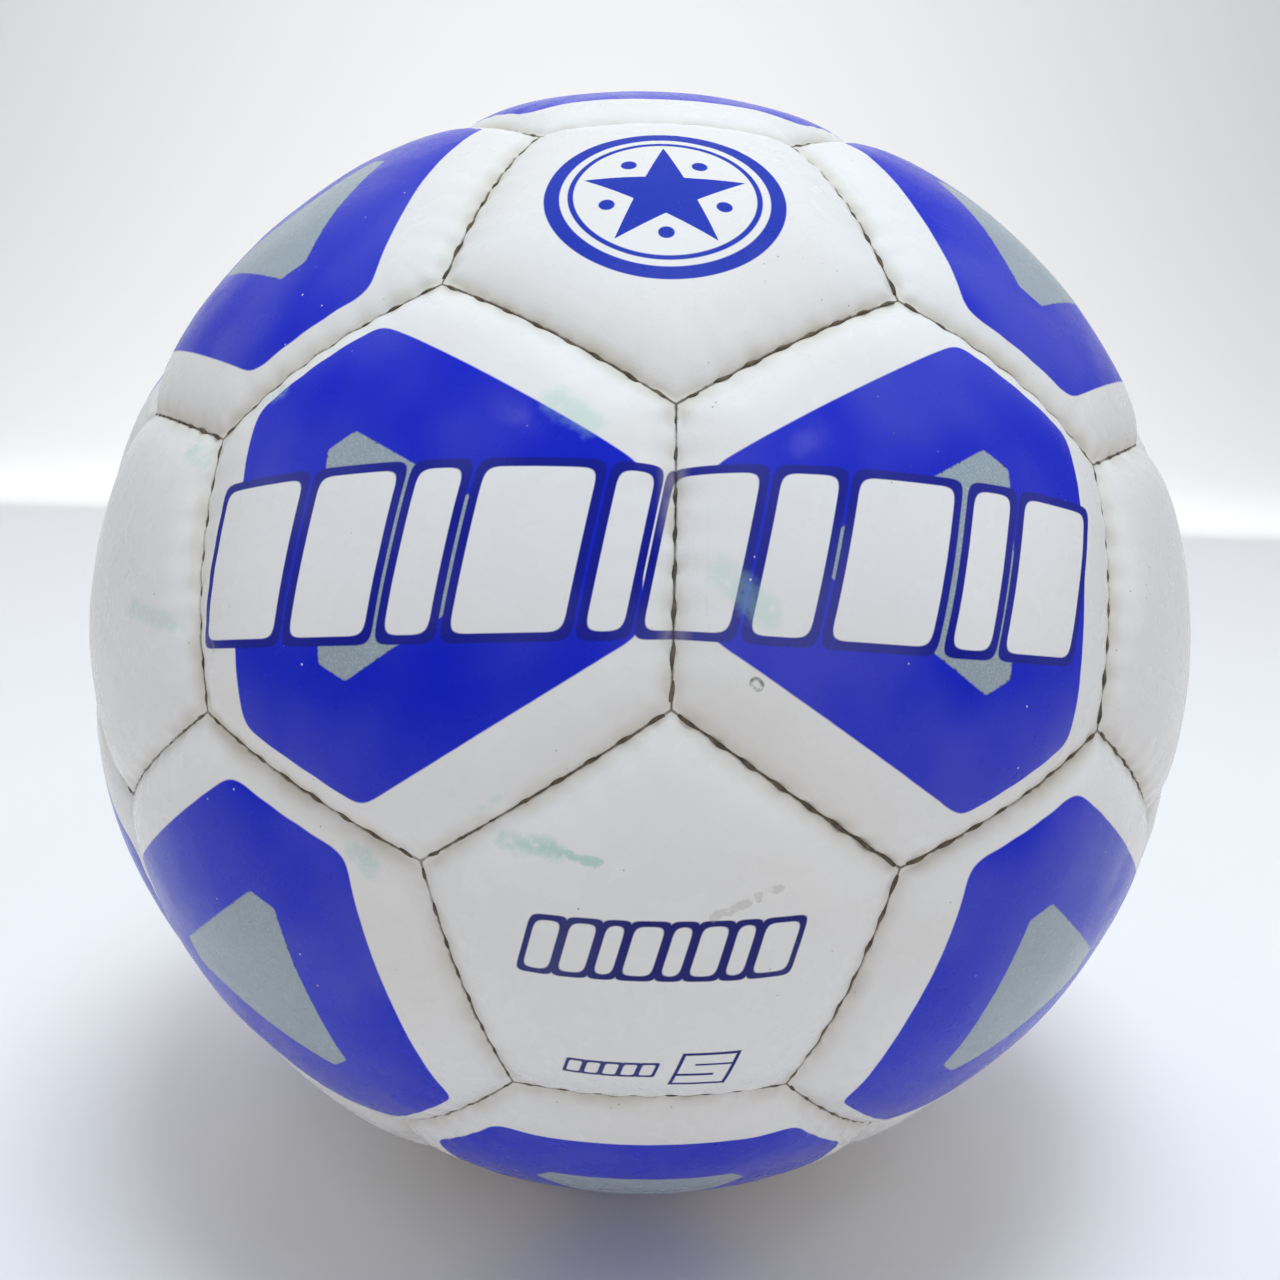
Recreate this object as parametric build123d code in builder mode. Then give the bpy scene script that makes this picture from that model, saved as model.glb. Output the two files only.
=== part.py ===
from build123d import *
import math
import os

# ---------------------------------------------------------------------------
# Size 5 soccer ball, hand-stitched from 20 hexagonal and 12 pentagonal panels.
# Row frame: origin at the ball's centre, +Z through the centre of the top
# hexagon, the ball resting on the hexagon opposite it.  Millimetres.
# ---------------------------------------------------------------------------

# driving dimensions
ball_radius = 110.0          # crown of every panel: 691 mm circumference
skin_thickness = 1.5         # moulded outer skin, turned in at the edges
glue_line = 0.1              # laminating adhesive between the layers
foam_thickness = 1.6         # closed-cell foam under the skin
foam_trim = 1.6              # foam cut back from the stitched rim
fabric_thickness = 1.7       # plies of woven backing under the foam
seam_gap = 0.3               # between the turned-in edges of two panels
edge_radius = 3.0            # roll of the skin down into a seam
corner_radius = 2.0          # panel corners, in plan
thread_radius = 0.45         # waxed polyester thread
thread_depth = 3.4           # thread centre below the crown
channel_radius = 0.55        # groove that the thread pulls into each panel edge
thread_end_gap = 1.6         # thread stops short of each three-panel corner
bladder_gap = 0.1
bladder_thickness = 1.0
valve_panel_hole = 4.4       # radius of the hole in the skin
valve_backing_hole = 5.0     # radius of the hole in the foam and fabric
valve_stem_radius = 4.1
valve_flange_radius = 9.0
valve_flange_thickness = 1.2
valve_bore_radius = 2.6      # seat of the core in the valve body
valve_mouth_radius = 1.5     # opening in the lip over the core
valve_tail_depth = 24.0      # inner end of the valve below the crown
core_channel_radius = 1.1    # passage for a 2 mm inflating needle
core_channel_length = 12.0
patch_radius = 17.0
patch_thickness = 0.8

# derived radii, outside in
foam_outer = ball_radius - skin_thickness - glue_line
fabric_outer = foam_outer - foam_thickness - glue_line
panel_inner = fabric_outer - fabric_thickness
bladder_outer = panel_inner - bladder_gap
bladder_inner = bladder_outer - bladder_thickness
seam_angle = 2 * math.degrees(math.asin(0.5 / 2.47801866))   # arc of one edge

# ---------------------------------------------------------------------------
# directions of the 12 pentagons and 20 hexagons
# ---------------------------------------------------------------------------
phi = (1 + math.sqrt(5)) / 2
tilt = math.atan(1 / phi**2)                # turns a three-fold axis onto +Z


def dot(a, b):
    return sum(x * y for x, y in zip(a, b))


def unit(v):
    n = math.sqrt(dot(v, v))
    return tuple(x / n for x in v)


def cross(a, b):
    return (a[1] * b[2] - a[2] * b[1], a[2] * b[0] - a[0] * b[2], a[0] * b[1] - a[1] * b[0])


def to_row(v):
    x, y, z = v
    c, s = math.cos(-tilt), math.sin(-tilt)
    return (x, y * c - z * s, y * s + z * c)


raw = []
for a in (1, -1):
    for b in (1, -1):
        raw += [(a, 0, b * phi), (0, a * phi, b), (a * phi, b, 0)]
pent_dirs = [unit(to_row(v)) for v in raw]
near = math.cos(math.radians(64))
hex_dirs = []
for i in range(12):
    for j in range(i):
        for k in range(j):
            p, q, r = pent_dirs[i], pent_dirs[j], pent_dirs[k]
            if dot(p, q) > near and dot(q, r) > near and dot(p, r) > near:
                hex_dirs.append(unit(tuple(x + y + z for x, y, z in zip(p, q, r))))


def azimuth(v):
    """Degrees from the front (-Y), anticlockwise seen from above."""
    return round(math.degrees(math.atan2(v[0], -v[1])) % 360, 3) % 360


def rings(dirs, names):
    """Names each direction by its ring, top to bottom, and its place round it."""
    levels = sorted({round(v[2], 3) for v in dirs}, reverse=True)
    named = {}
    for level, name in zip(levels, names):
        ring = sorted((v for v in dirs if abs(v[2] - level) < 2e-3), key=azimuth)
        for n, v in enumerate(ring, 1):
            named[name if len(ring) == 1 else f"{name}_{n}"] = v
    return named


hex_names = ["hex_panel_top", "hex_panel_high", "hex_panel_upper", "hex_panel_lower", "hex_panel_low", "hex_panel_bottom"]
pent_names = ["pent_panel_high", "pent_panel_upper", "pent_panel_lower", "pent_panel_low"]
hexes = rings(hex_dirs, hex_names)
pents = rings(pent_dirs, pent_names)
valve_dir = max(hex_dirs, key=lambda v: v[0] * 0.577 + v[1] * 0.745 + v[2] * 0.333)


def seat(direction, others):
    """The plane of a panel: +Z out of the ball, +X towards a neighbouring pentagon (a hexagon for a pentagon)."""
    nearest = max((o for o in others if dot(o, direction) < 0.9999), key=lambda o: (round(dot(o, direction), 4), round(o[2], 4), o[0]))
    along = unit(tuple(n - dot(nearest, direction) * d for n, d in zip(nearest, direction)))
    return Plane(origin=(0, 0, 0), x_dir=along, z_dir=direction)


hex_half = math.atan(0.8660254 / 2.26728394)      # centre to edge, in angle
pent_half = math.atan(0.68819096 / 2.32743843)


# ---------------------------------------------------------------------------
# building blocks of a panel, in the panel's own frame: +Z out of the ball
# ---------------------------------------------------------------------------
def slab(sides, half_angle, outer, inner, inset, roll, corner):
    """A patch of the ball between two radii, its sides `inset` inside the seam planes."""
    low, high = inner * 0.86, outer * 1.04
    with BuildPart() as block:
        for height in (low, high):
            reach = height * math.tan(half_angle) - inset / math.cos(half_angle)
            with BuildSketch(Plane.XY.offset(height)):
                RegularPolygon(radius=reach, side_count=sides, major_radius=False, rotation=180 / sides)
        loft(ruled=True)
        if corner:
            fillet([e for e in block.edges() if abs(e.bounding_box().size.Z - (high - low)) < 0.5], corner)
        with BuildSketch(Plane.XZ):
            with BuildLine():
                reach = math.radians(34)
                Line((0, inner), (0, outer))
                ThreePointArc((0, outer), (outer * math.sin(reach / 2), outer * math.cos(reach / 2)), (outer * math.sin(reach), outer * math.cos(reach)))
                Line((outer * math.sin(reach), outer * math.cos(reach)), (inner * math.sin(reach), inner * math.cos(reach)))
                ThreePointArc((inner * math.sin(reach), inner * math.cos(reach)), (inner * math.sin(reach / 2), inner * math.cos(reach / 2)), (0, inner))
            make_face()
        revolve(axis=Axis.Z, mode=Mode.INTERSECT)
        if roll:
            fillet(block.faces().sort_by(Axis.Z)[-1].edges(), roll)
    return block.part


def seam_ring(sides, half_angle, radius, arc):
    """A round bar along one edge of a panel, on the great circle between the panel and its neighbour, on the +X side."""
    mid = (math.sin(half_angle), 0, math.cos(half_angle))
    pole = (-math.cos(half_angle), 0, math.sin(half_angle))
    with BuildPart() as bar:
        reach = ball_radius - thread_depth
        start = math.radians(-arc / 2)
        at = tuple(reach * (math.cos(start) * m + math.sin(start) * y) for m, y in zip(mid, (0, 1, 0)))
        out = unit(at)
        with BuildSketch(Plane(origin=at, x_dir=out, z_dir=cross(out, pole))):
            Circle(radius)
        turn = Axis((0, 0, 0), pole)
        revolve(axis=turn, revolution_arc=arc)
        if abs(dot(tuple(bar.part.center()), mid)) < reach * 0.9 or abs(bar.part.center().Y) > 1:
            raise ValueError("the seam bar runs the wrong way round")
    return bar.part


def skin_blank(sides, half_angle):
    """The outer skin: a shallow lid whose rim turns in at the seams, grooved where the thread pulls it tight."""
    hollow = slab(sides, half_angle, ball_radius - skin_thickness, panel_inner - 3, seam_gap / 2 + skin_thickness, 0, 0)
    channel = seam_ring(sides, half_angle, channel_radius, seam_angle + 6)
    with BuildPart() as skin:
        add(slab(sides, half_angle, ball_radius, panel_inner, seam_gap / 2, edge_radius, corner_radius))
        add(hollow, mode=Mode.SUBTRACT)
        for k in range(sides):
            with Locations(Location((0, 0, 0), (0, 0, 360 / sides * k))):
                add(channel, mode=Mode.SUBTRACT)
    return skin.part


skins = {6: skin_blank(6, hex_half), 5: skin_blank(5, pent_half)}
with BuildPart() as holed_skin:
    add(skins[6])
    with BuildSketch(Plane.XY.offset(ball_radius - 3)):
        Circle(valve_panel_hole)
    extrude(amount=6, mode=Mode.SUBTRACT, clean=False)
valve_skin = holed_skin.part

side_of_backing = seam_gap / 2 + skin_thickness + glue_line
foams = {
    n: slab(n, h, foam_outer, foam_outer - foam_thickness, side_of_backing + foam_trim, 0, 0)
    for n, h in ((6, hex_half), (5, pent_half))
}
fabrics = {
    n: slab(n, h, fabric_outer, panel_inner, side_of_backing, 0, 0)
    for n, h in ((6, hex_half), (5, pent_half))
}

os.makedirs("parts", exist_ok=True)
for old in os.listdir("parts"):
    os.remove(os.path.join("parts", old))


# ---------------------------------------------------------------------------
# the 32 skins
# ---------------------------------------------------------------------------
for sides, named, others in ((6, hexes, pent_dirs), (5, pents, hex_dirs)):
    for name, direction in named.items():
        blank = skins[sides]
        if direction == valve_dir:
            name, blank = "valve_hex_panel", valve_skin
        with BuildPart() as panel:
            with Locations(seat(direction, others).location):
                add(blank)
        panel.part.label = name
        export_step(panel.part, f"parts/{name}.step")

# ---------------------------------------------------------------------------
# foam and fabric backings, one solid behind each skin
# ---------------------------------------------------------------------------
for layer, blanks in (("foam_backing", foams), ("fabric_backing", fabrics)):
    for sides, named, others, kind in ((6, hexes, pent_dirs, "hex"), (5, pents, hex_dirs, "pent")):
        with BuildPart() as backings:
            for direction in named.values():
                with Locations(seat(direction, others).location):
                    add(blanks[sides])
            if kind == "hex":
                with BuildSketch(seat(valve_dir, pent_dirs).offset(ball_radius - 12)):
                    Circle(valve_backing_hole)
                extrude(amount=20, mode=Mode.SUBTRACT)
        backings.part.label = f"{kind}_{layer}s"
        export_step(backings.part, f"parts/{kind}_{layer}s.step")

# ---------------------------------------------------------------------------
# seam thread: one length in each of the 90 seams
# ---------------------------------------------------------------------------
thread_arc = seam_angle - 2 * math.degrees(thread_end_gap / (ball_radius - thread_depth))
pent_thread = seam_ring(5, pent_half, thread_radius, thread_arc)
hex_thread = seam_ring(6, hex_half, thread_radius, thread_arc)

with BuildPart() as pent_seam_threads:
    for direction in pents.values():
        place = seat(direction, hex_dirs).location
        for k in range(5):
            with Locations(place * Location((0, 0, 0), (0, 0, 72 * k))):
                add(pent_thread)
pent_seam_threads.part.label = "pent_seam_threads"
export_step(pent_seam_threads.part, "parts/pent_seam_threads.step")

with BuildPart() as hex_seam_threads:
    done = []
    for direction in hexes.values():
        plane = seat(direction, pent_dirs)
        for k in (1, 3, 5):
            a = math.radians(60 * k)
            mid = plane.from_local_coords((math.sin(hex_half) * math.cos(a), math.sin(hex_half) * math.sin(a), math.cos(hex_half)))
            mid = tuple(mid)
            if any(dot(mid, m) > 0.999 for m in done):
                continue
            done.append(mid)
            with Locations(plane.location * Location((0, 0, 0), (0, 0, 60 * k))):
                add(hex_thread)
hex_seam_threads.part.label = "hex_seam_threads"
export_step(hex_seam_threads.part, "parts/hex_seam_threads.step")

# ---------------------------------------------------------------------------
# bladder and valve, on the valve panel's axis
# ---------------------------------------------------------------------------
valve_plane = seat(valve_dir, pent_dirs)

with BuildPart() as bladder:
    Sphere(bladder_outer)
    Sphere(bladder_inner, mode=Mode.SUBTRACT)
    with BuildSketch(valve_plane.offset(bladder_inner - 6)):
        Circle(valve_stem_radius + 0.05)
    extrude(amount=14, mode=Mode.SUBTRACT)
bladder.part.label = "bladder"
export_step(bladder.part, "parts/bladder.step")

# reinforcing patch on the inside of the bladder, round the valve
with BuildPart() as valve_patch:
    with BuildSketch(Plane.XZ):
        with BuildLine():
            outer, inner = bladder_inner - 0.05, bladder_inner - 0.05 - patch_thickness
            a0, a1 = math.asin((valve_stem_radius + 0.05) / outer), math.asin(patch_radius / outer)
            b0, b1 = math.asin((valve_stem_radius + 0.05) / inner), math.asin((patch_radius - 0.6) / inner)
            p = [(outer * math.sin(a), outer * math.cos(a)) for a in (a0, (a0 + a1) / 2, a1)]
            q = [(inner * math.sin(b), inner * math.cos(b)) for b in (b1, (b0 + b1) / 2, b0)]
            ThreePointArc(*p)
            Line(p[2], q[0])
            ThreePointArc(*q)
            Line(q[2], p[0])
        make_face()
    revolve(axis=Axis.Z)
with BuildPart() as placed_patch:
    with Locations(valve_plane.location):
        add(valve_patch.part)
placed_patch.part.label = "valve_patch"
export_step(placed_patch.part, "parts/valve_patch.step")

# valve body: a rubber stem with a flange inside the bladder, a lip at the
# surface and a tail that holds the core
top = ball_radius - 0.7
tail = ball_radius - valve_tail_depth
flange_top = bladder_inner - 0.05 - patch_thickness - 0.45
lip = 1.6
with BuildPart() as valve_body:
    with BuildSketch(Plane.XZ):
        with BuildLine():
            Polyline(
                (valve_mouth_radius, top - lip),
                (valve_mouth_radius, top - 0.9),
                (valve_mouth_radius + 0.9, top - 0.15),
                (valve_mouth_radius + 1.3, top),
                (valve_stem_radius - 0.5, top - 0.05),
                (valve_stem_radius, top - 0.6),
                (valve_stem_radius, flange_top),
                (valve_flange_radius, flange_top - 0.2),
                (valve_flange_radius, flange_top - valve_flange_thickness + 0.4),
                (valve_stem_radius, flange_top - valve_flange_thickness),
                (valve_stem_radius - 0.3, tail + 1.2),
                (valve_stem_radius - 1.1, tail),
                (valve_bore_radius - 0.6, tail),
                (valve_bore_radius - 0.6, tail + 1.4),
                (valve_bore_radius, tail + 1.4),
                (valve_bore_radius, top - lip),
                close=True,
            )
        make_face()
    revolve(axis=Axis.Z)
with BuildPart() as placed_body:
    with Locations(valve_plane.location):
        add(valve_body.part)
placed_body.part.label = "valve_body"
export_step(placed_body.part, "parts/valve_body.step")

# valve core: the self-sealing plug, with the needle's channel from its top
core_top = top - lip - 0.02
core_bottom = tail + 1.45
with BuildPart() as valve_core:
    with BuildSketch(Plane.XZ):
        with BuildLine():
            Polyline(
                (0, core_bottom),
                (valve_bore_radius - 0.35, core_bottom),
                (valve_bore_radius - 0.02, core_bottom + 0.8),
                (valve_bore_radius - 0.02, core_top),
                (core_channel_radius, core_top),
                (core_channel_radius, core_top - core_channel_length),
                (0, core_top - core_channel_length - 0.6),
                close=True,
            )
        make_face()
    revolve(axis=Axis.Z)
with BuildPart() as placed_core:
    with Locations(valve_plane.location):
        add(valve_core.part)
placed_core.part.label = "valve_core"
export_step(placed_core.part, "parts/valve_core.step")

print("panels", len(hexes), len(pents), "seams", 60 + len(done))
print("radii", ball_radius, foam_outer, fabric_outer, panel_inner, bladder_outer, bladder_inner)
print("valve direction", [round(x, 6) for x in valve_dir], "core top", core_top, "mid channel", core_top - core_channel_length / 2)
for name, direction in {**hexes, **pents}.items():
    print(name, [round(x, 4) for x in direction])
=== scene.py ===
import math

import bpy
import numpy as np
from mathutils import Matrix, Vector


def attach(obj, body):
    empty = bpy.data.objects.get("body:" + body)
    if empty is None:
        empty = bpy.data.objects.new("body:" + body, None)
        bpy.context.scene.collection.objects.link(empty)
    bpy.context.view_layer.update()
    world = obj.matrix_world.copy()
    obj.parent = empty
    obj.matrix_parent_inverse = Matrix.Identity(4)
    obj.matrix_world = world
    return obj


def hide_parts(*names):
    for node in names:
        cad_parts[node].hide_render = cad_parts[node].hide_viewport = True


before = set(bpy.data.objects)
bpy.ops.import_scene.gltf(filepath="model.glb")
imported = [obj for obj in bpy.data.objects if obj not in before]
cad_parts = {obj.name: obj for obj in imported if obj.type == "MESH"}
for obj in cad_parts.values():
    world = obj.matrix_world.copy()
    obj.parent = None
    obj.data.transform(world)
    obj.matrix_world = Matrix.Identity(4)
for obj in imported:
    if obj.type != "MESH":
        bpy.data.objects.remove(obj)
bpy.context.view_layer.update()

# ---------------------------------------------------------------------------
# camera and lights
# ---------------------------------------------------------------------------
scene = bpy.context.scene
R = 0.110                       # crown radius of the ball
FLOOR = -R

PHI = (1 + math.sqrt(5)) / 2
TILT = math.atan(1 / PHI**2)


def to_row(v):
    c, s = math.cos(-TILT), math.sin(-TILT)
    x, y, z = v
    return np.array((x, y * c - z * s, y * s + z * c))


def turn(rotvec):
    a = math.sqrt(sum(x * x for x in rotvec))
    return np.array(Matrix.Rotation(a, 3, Vector(rotvec) / a))


VIEW = turn((-0.11608756, 0.02120101, 0.0453925))
cam_right = to_row(VIEW.T @ np.array((1.0, 0.0, 0.0)))
cam_back = to_row(VIEW.T @ np.array((0.0, -1.0, 0.0)))
cam_up = to_row(VIEW.T @ np.array((0.0, 0.0, 1.0)))
CAM_DIST = 2.67443928 * R

camera = bpy.data.cameras.new("camera")
camera_ob = bpy.data.objects.new("camera", camera)
scene.collection.objects.link(camera_ob)
m = Matrix.Identity(4)
for row in range(3):
    m[row][0], m[row][1], m[row][2] = cam_right[row], cam_up[row], cam_back[row]
    m[row][3] = cam_back[row] * CAM_DIST
camera_ob.matrix_world = m
camera.sensor_width = 36.0
camera.lens = 553.2 * math.sqrt(2.67443928**2 - 1) / 1280 * 36.0
camera.shift_x = 1.2 / 1280
camera.shift_y = 2.2 / 1280
camera.clip_start = 0.01
scene.camera = camera_ob

scene.view_settings.view_transform = "Standard"
scene.view_settings.look = "None"

world = bpy.data.worlds.new("studio")
world.use_nodes = True
wt = world.node_tree
coord = wt.nodes.new("ShaderNodeTexCoord")
split = wt.nodes.new("ShaderNodeSeparateXYZ")
wt.links.new(coord.outputs["Generated"], split.inputs[0])
up = wt.nodes.new("ShaderNodeMapRange")
up.interpolation_type = "SMOOTHSTEP"
wt.links.new(split.outputs[2], up.inputs["Value"])
up.inputs["From Min"].default_value = 0.05
up.inputs["From Max"].default_value = 0.85
up.inputs["To Min"].default_value = 0.24
up.inputs["To Max"].default_value = 0.50
wt.links.new(up.outputs[0], wt.nodes["Background"].inputs["Strength"])
wt.nodes["Background"].inputs["Color"].default_value = (0.88, 0.95, 1.06, 1)
scene.world = world


def area(name, where, target, size, power, colour, size_y=None, glossy=True):
    light = bpy.data.lights.new(name, "AREA")
    light.shape = "RECTANGLE"
    light.size, light.size_y = size, size_y or size
    light.energy = power
    light.color = colour
    ob = bpy.data.objects.new(name, light)
    scene.collection.objects.link(ob)
    ob.location = where
    ob.rotation_euler = (Vector(target) - Vector(where)).to_track_quat("-Z", "Y").to_euler()
    ob.visible_glossy = glossy
    return ob


area("overhead", (0.05, -0.20, 0.95), (0, 0, 0), 0.34, 5.0, (0.78, 0.94, 1.08), glossy=False)
area("spot_right", (0.30, -0.42, 0.62), (0, 0, 0), 0.07, 0.16, (1.0, 1.0, 1.0))
area("spot_left", (-0.30, -0.38, 0.66), (0, 0, 0), 0.05, 0.10, (1.0, 1.0, 1.0))
area("front", (0.0, -1.3, 0.22), (0, 0, 0), 0.9, 1.5, (1.0, 0.86, 0.80), glossy=False)
area("side_left", (-1.1, -0.25, 0.35), (0, 0, 0), 0.6, 0.6, (1.0, 0.97, 0.95))
area("side_right", (1.1, -0.25, 0.35), (0, 0, 0), 0.6, 0.9, (1.0, 0.97, 0.97))
area("backdrop", (0.0, 0.75, 0.75), (0, 2.4, 0.9), 1.6, 9.5, (1.0, 1.0, 1.0))
area("floor_wash", (0.0, 0.9, 1.6), (0, 1.1, -0.11), 1.6, 13.0, (1.0, 1.0, 1.0), glossy=False)

# ---------------------------------------------------------------------------
# panel directions, named as the CAD nodes are
# ---------------------------------------------------------------------------


def unit(v):
    v = np.asarray(v, float)
    return v / np.linalg.norm(v)


raw = []
for a in (1, -1):
    for b in (1, -1):
        raw += [(a, 0, b * PHI), (0, a * PHI, b), (a * PHI, b, 0)]
PENTS = [unit(to_row(v)) for v in raw]
NEAR = math.cos(math.radians(64))
HEXES = []
for i in range(12):
    for j in range(i):
        for k in range(j):
            p, q, r = PENTS[i], PENTS[j], PENTS[k]
            if p @ q > NEAR and q @ r > NEAR and p @ r > NEAR:
                HEXES.append(unit(p + q + r))


def azimuth(v):
    return round(math.degrees(math.atan2(v[0], -v[1])) % 360, 3) % 360


def rings(dirs, names):
    levels = sorted({round(v[2], 3) for v in dirs}, reverse=True)
    named = {}
    for level, name in zip(levels, names):
        ring = sorted((v for v in dirs if abs(v[2] - level) < 2e-3), key=azimuth)
        for n, v in enumerate(ring, 1):
            named[name if len(ring) == 1 else f"{name}_{n}"] = v
    return named


hexes = rings(HEXES, ["hex_panel_top", "hex_panel_high", "hex_panel_upper", "hex_panel_lower", "hex_panel_low", "hex_panel_bottom"])
pents = rings(PENTS, ["pent_panel_high", "pent_panel_upper", "pent_panel_lower", "pent_panel_low"])
VALVE = unit((0.577350, 0.745356, 0.333333))
hexes = {("valve_hex_panel" if v @ VALVE > 0.999 else n): v for n, v in hexes.items()}
ALL = HEXES + PENTS

A_HEX = 2.26728394
A_PENT = 2.32743843
EDGE = 44.39e-3                 # length of a seam


def neighbours(v, mine, sides):
    """Seam planes round a panel: (unit normal into the panel, other panel's direction, is it a hexagon)."""
    out = []
    for o, kind in [(x, 6) for x in HEXES] + [(x, 5) for x in PENTS]:
        c = v @ o
        if c > 0.9999:
            continue
        near = math.cos(math.radians(43)) if (mine, kind) == (6, 6) else math.cos(math.radians(39)) if mine != kind else 2
        if c < near:
            continue
        # the seam plane: both panels' polygon faces meet on it
        dv = (A_HEX if mine == 6 else A_PENT)
        do = (A_HEX if kind == 6 else A_PENT)
        # plane through the centre of the ball that holds the shared edge
        along = unit(np.cross(v, o))
        half = math.atan((0.8660254 if mine == 6 else 0.68819096) / dv)
        mid = unit(math.cos(half) * v + math.sin(half) * unit(o - c * v))
        out.append((unit(np.cross(along, mid)) * np.sign(np.cross(along, mid) @ v), mid, kind))
    assert len(out) == sides, (mine, len(out))
    return out


# ---------------------------------------------------------------------------
# smooth, repeatable unevenness: sums of plane waves
# ---------------------------------------------------------------------------
rng = np.random.default_rng(20)
WAVES = []
for scale, amp in ((0.060, 0.20e-3), (0.034, 0.14e-3), (0.018, 0.055e-3), (0.010, 0.02e-3)):
    for _ in range(7):
        k = rng.normal(size=3)
        k = k / np.linalg.norm(k) * 2 * math.pi / scale
        WAVES.append((k, rng.uniform(0, 2 * math.pi), amp / 2.6))


def swell(p):
    h = np.zeros(len(p))
    for k, ph, amp in WAVES:
        h += amp * np.sin(p @ k + ph)
    return h


STITCHES = 8
PITCH = EDGE / STITCHES


def seam_noise(mid, t):
    """Unevenness that belongs to a seam, the same seen from both of its panels."""
    seed = int(abs(round(float(mid @ np.array((311.7, 127.1, 269.5))) * 1000))) % 100000
    g = np.random.default_rng(seed)
    depth = 0.75 + 0.5 * g.random(STITCHES + 3)
    shift = 0.12 * (g.random(STITCHES + 3) - 0.5)
    return depth, shift


def panel_mesh(name, v, mine, grid_x, hole=0.0):
    """The moulded skin of one panel, pillowed, rolled into its seams and puckered by the stitches."""
    sides = mine
    near = neighbours(v, mine, sides)
    # order the seams round the panel
    ex = unit(grid_x - (grid_x @ v) * v)
    ey = np.cross(v, ex)
    near.sort(key=lambda n: math.atan2(n[1] @ ey, n[1] @ ex))
    half = math.atan((0.8660254 if mine == 6 else 0.68819096) / (A_HEX if mine == 6 else A_PENT))
    reach = math.tan(half)
    angs = [math.atan2(n[1] @ ey, n[1] @ ex) for n in near]
    M = 48                                        # points along one seam
    # ring positions: fraction of the way from the centre to the seam
    apothem = R * half
    d = np.concatenate([
        [0.00002, 0.00012, 0.00028, 0.00050, 0.00080, 0.00115, 0.00155, 0.0020, 0.0026, 0.0033, 0.0041, 0.0050, 0.0061, 0.0074, 0.0089, 0.0106],
        np.arange(0.0126, apothem - 0.002, 0.0026),
    ])
    s = 1 - d / apothem
    # boundary directions in the tangent plane, corners in the middle of the fan between seams
    bx, by = [], []
    for i in range(sides):
        a = angs[i]
        w = math.tan(math.pi / sides)
        t = (np.arange(M) / M * 2 - 1) * w
        bx.append(reach * (math.cos(a) - t * math.sin(a)))
        by.append(reach * (math.sin(a) + t * math.cos(a)))
    bx, by = np.concatenate(bx), np.concatenate(by)
    n_ring = len(bx)
    if hole:
        s = s[s * apothem > 0.0125]
    pts = [np.stack([bx * sk, by * sk], 1) for sk in s]
    if hole:
        # round the rings off towards a circular hole
        rho = np.hypot(bx, by)
        for r in (0.0095, 0.0078, 0.0065, 0.0056, 0.0050, 0.0047):
            pts.append(np.stack([bx / rho * r / R, by / rho * r / R], 1))
    n_rings = len(pts)
    flat = np.concatenate(pts + [np.zeros((1, 2))])
    dirs = v[None] + flat[:, :1] * ex[None] + flat[:, 1:] * ey[None]
    dirs /= np.linalg.norm(dirs, axis=1)[:, None]

    drop = np.zeros(len(dirs))
    dist = np.full(len(dirs), 1.0)
    soft = np.zeros(len(dirs))
    pucker = np.zeros(len(dirs))
    for normal, mid, kind in near:
        dd = R * np.arcsin(np.clip(dirs @ normal, -1, 1))
        dd = np.maximum(dd, 0)
        along = unit(np.cross(normal, mid))
        if along @ np.array((0.31, 0.57, 0.76)) < 0:
            along = -along
        t = R * np.arctan2(dirs @ along, dirs @ mid)
        depth, shift = seam_noise(mid, t)
        c = (t + EDGE / 2) / PITCH - 0.5
        idx = np.clip(np.floor(c + 0.5).astype(int) + 1, 0, STITCHES + 2)
        ph = c + shift[idx]
        wave = np.exp(-(((ph + 0.5) % 1 - 0.5) / 0.26) ** 2)      # 1 at a stitch
        amp = depth[idx]
        inside = np.clip((EDGE / 2 + 0.002 - np.abs(t)) / 0.004, 0, 1)
        roll = 0.55 * np.exp(-dd / 0.00035) + 1.70 * np.exp(-(dd / 0.0036) ** 1.25) + 0.70 * np.exp(-(dd / 0.0100) ** 1.6)
        pk = wave * amp * inside * (0.26 * np.exp(-dd / 0.0012) + 0.26 * np.exp(-dd / 0.0040))
        soft += np.exp(-dd / 0.0016)
        drop = np.maximum(drop, roll) + 0.34 * np.minimum(drop, roll)
        pucker += pk
        dist = np.minimum(dist, dd)
    bulge = 0.35 * np.clip(1 - (np.arccos(np.clip(dirs @ v, -1, 1)) / half) ** 2, 0, 1)
    radius = R + (bulge - 0.38 - np.minimum(drop + pucker, 3.0)) * 1e-3 + swell(dirs * R)
    radius = np.minimum(radius, R)
    verts = dirs * radius[:, None]

    # keep a hair's gap between neighbouring panels, wider where the thread shows
    for normal, mid, kind in near:
        along = unit(np.cross(normal, mid))
        if along @ np.array((0.31, 0.57, 0.76)) < 0:
            along = -along
        t = R * np.arctan2(dirs @ along, dirs @ mid)
        depth, shift = seam_noise(mid, t)
        c = (t + EDGE / 2) / PITCH - 0.5
        idx = np.clip(np.floor(c + 0.5).astype(int) + 1, 0, STITCHES + 2)
        wave = np.exp(-(((c + shift[idx] + 0.5) % 1 - 0.5) / 0.16) ** 2) * depth[idx]
        dd = verts @ normal
        need = 0.00002 + 0.00009 * wave
        push = np.clip(need - dd, 0, None)
        verts = verts + push[:, None] * normal[None]

    rim = verts[:n_ring].copy()
    n_top = len(verts)
    centre = n_top - 1
    # turned-in flange and the underside, so that the skin is a closed body
    extra = []
    r_rim = np.linalg.norm(rim, axis=1)
    for target in (0.10630, 0.10590):
        extra.append(rim / r_rim[:, None] * target)
    back = []

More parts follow.
